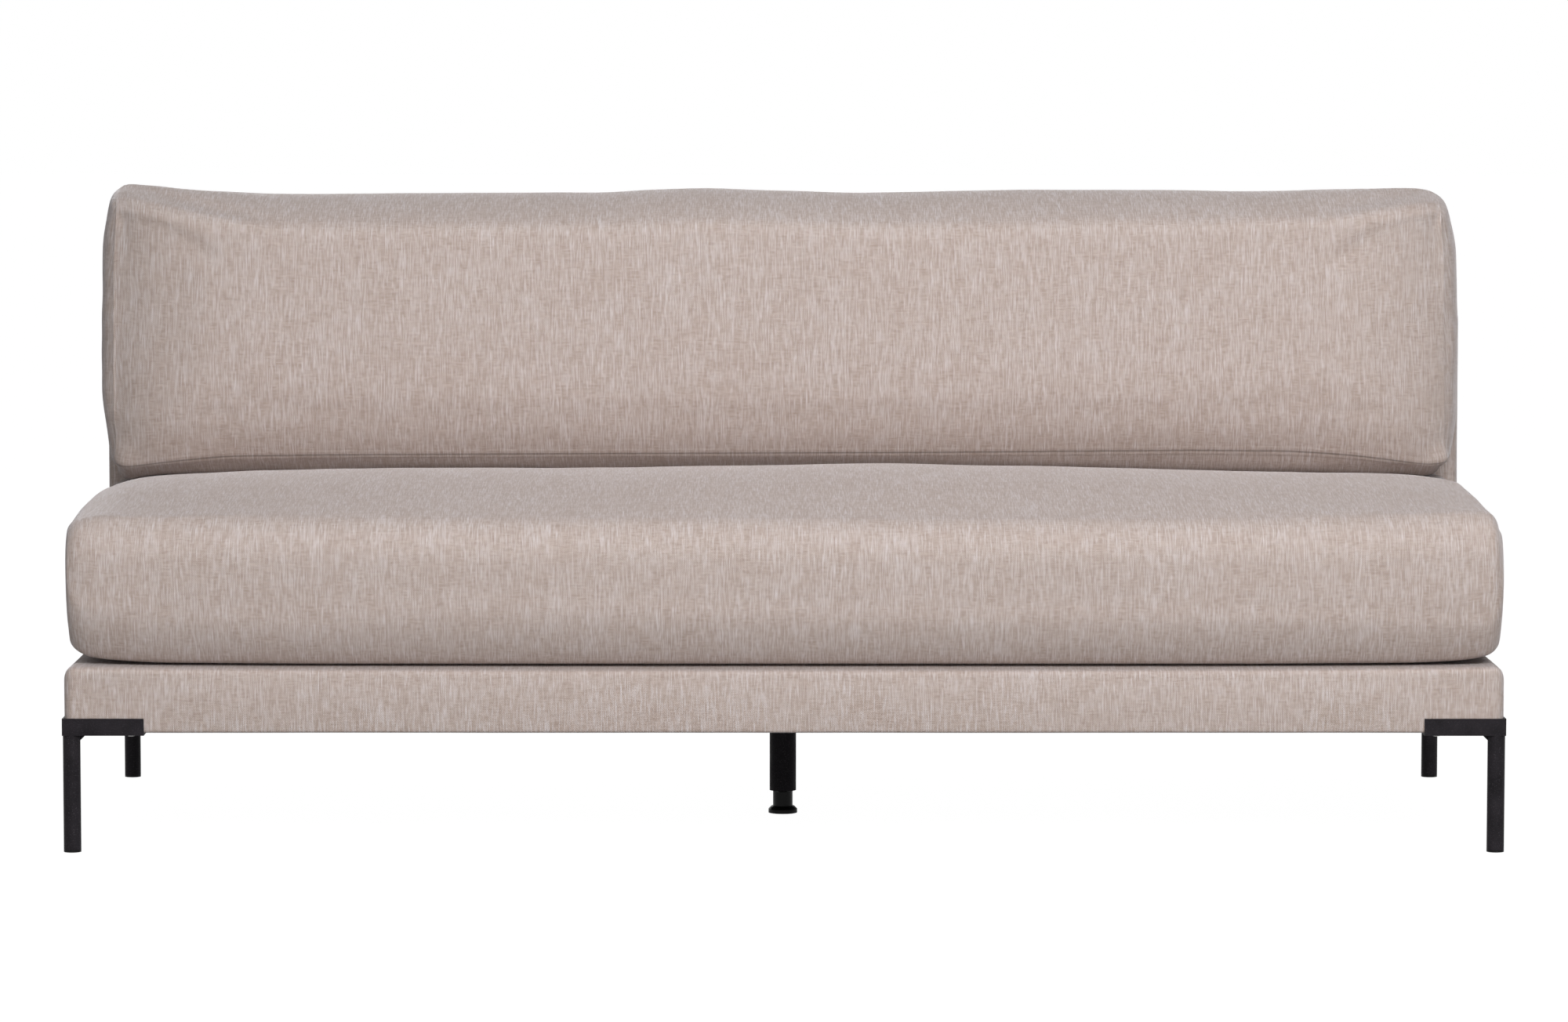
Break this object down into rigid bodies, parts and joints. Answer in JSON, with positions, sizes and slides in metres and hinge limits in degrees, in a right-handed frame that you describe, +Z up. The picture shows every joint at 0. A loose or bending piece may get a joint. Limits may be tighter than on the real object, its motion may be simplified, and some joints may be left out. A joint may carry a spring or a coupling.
{
  "type": "dining banquette",
  "caption": "Armless upholstered dining banquette with a long loose seat cushion, a loose back cushion on a low back, round metal corner legs and an adjustable centre leg.",
  "frame": {"origin": "centre of the bounding box's bottom face, on the floor", "axes": "+X along the bench towards the viewer's right, +Y from the front to the back, +Z up"},
  "size_m": [1.828, 0.76, 0.822],
  "materials": {
    "upholstery": "plain weave, taupe melange",
    "foam": "open-cell foam",
    "zip_tape": "woven tape",
    "timber": "planed softwood",
    "hardboard": "pressed fibre board",
    "webbing": "woven elastic belt",
    "felt": "needled felt",
    "dust_cloth": "spun-bonded cloth",
    "powder_coat": "fine-texture powder coat",
    "black_plastic": "moulded",
    "black_steel": "smooth black",
    "zinc_steel": "zinc plated"
  },
  "bodies": {
    "frame": {"base_cover": "upholstery", "back_cover": "upholstery", "base_padding": "foam", "back_padding": "foam", "base_front_rail": "timber", "base_rear_rail": "timber", "base_left_rail": "timber", "base_right_rail": "timber", "base_centre_rail": "timber", "base_cross_rails": "timber", "base_corner_blocks": "timber", "back_main_posts": "timber", "back_left_post": "timber", "back_right_post": "timber", "back_bottom_rail": "timber", "back_top_rail": "timber", "back_front_panel": "hardboard", "back_rear_panel": "hardboard", "seat_webbing": "webbing", "deck_felt": "felt", "dust_cover": "dust_cloth", "front_left_leg": "powder_coat", "front_right_leg": "powder_coat", "rear_right_leg": "powder_coat", "rear_left_leg": "powder_coat", "centre_leg_plate": "powder_coat", "centre_leg_tube": "powder_coat", "leg_glides": "black_plastic", "centre_leg_insert": "black_plastic", "leg_screws": "zinc_steel", "centre_leg_screws": "zinc_steel"},
    "seat_cushion": {"seat_cushion_cover": "upholstery", "seat_cushion_zip": "zip_tape", "seat_cushion_filling": "foam"},
    "back_cushion": {"back_cushion_cover": "upholstery", "back_cushion_zip": "zip_tape", "back_cushion_filling": "foam"},
    "foot_pad": {"foot_pad": "black_plastic"},
    "foot_adjuster": {"foot_adjuster": "black_steel"}
  },
  "joints": [
    {"name": "seat_cushion_lift", "type": "slide", "parent": "frame", "child": "seat_cushion", "axis": [0, 0, 1], "range_m": [0, 0.45]},
    {"name": "back_cushion_lift", "type": "slide", "parent": "seat_cushion", "child": "back_cushion", "axis": [0, 0, 1], "range_m": [0, 0.3]},
    {"name": "foot_height", "type": "slide", "parent": "frame", "child": "foot_pad", "axis": [0, 0, 1], "range_m": [-0.015, 0]},
    {"name": "foot_turn", "type": "hinge", "parent": "foot_pad", "child": "foot_adjuster", "pos_m": [0, 0, 0.02], "axis": [0, 0, 1], "range_deg": [-3600, 0]}
  ],
  "couplings": [
    {"joint": "foot_height", "follows": "foot_turn", "m_per_rad": 0.00023873}
  ]
}
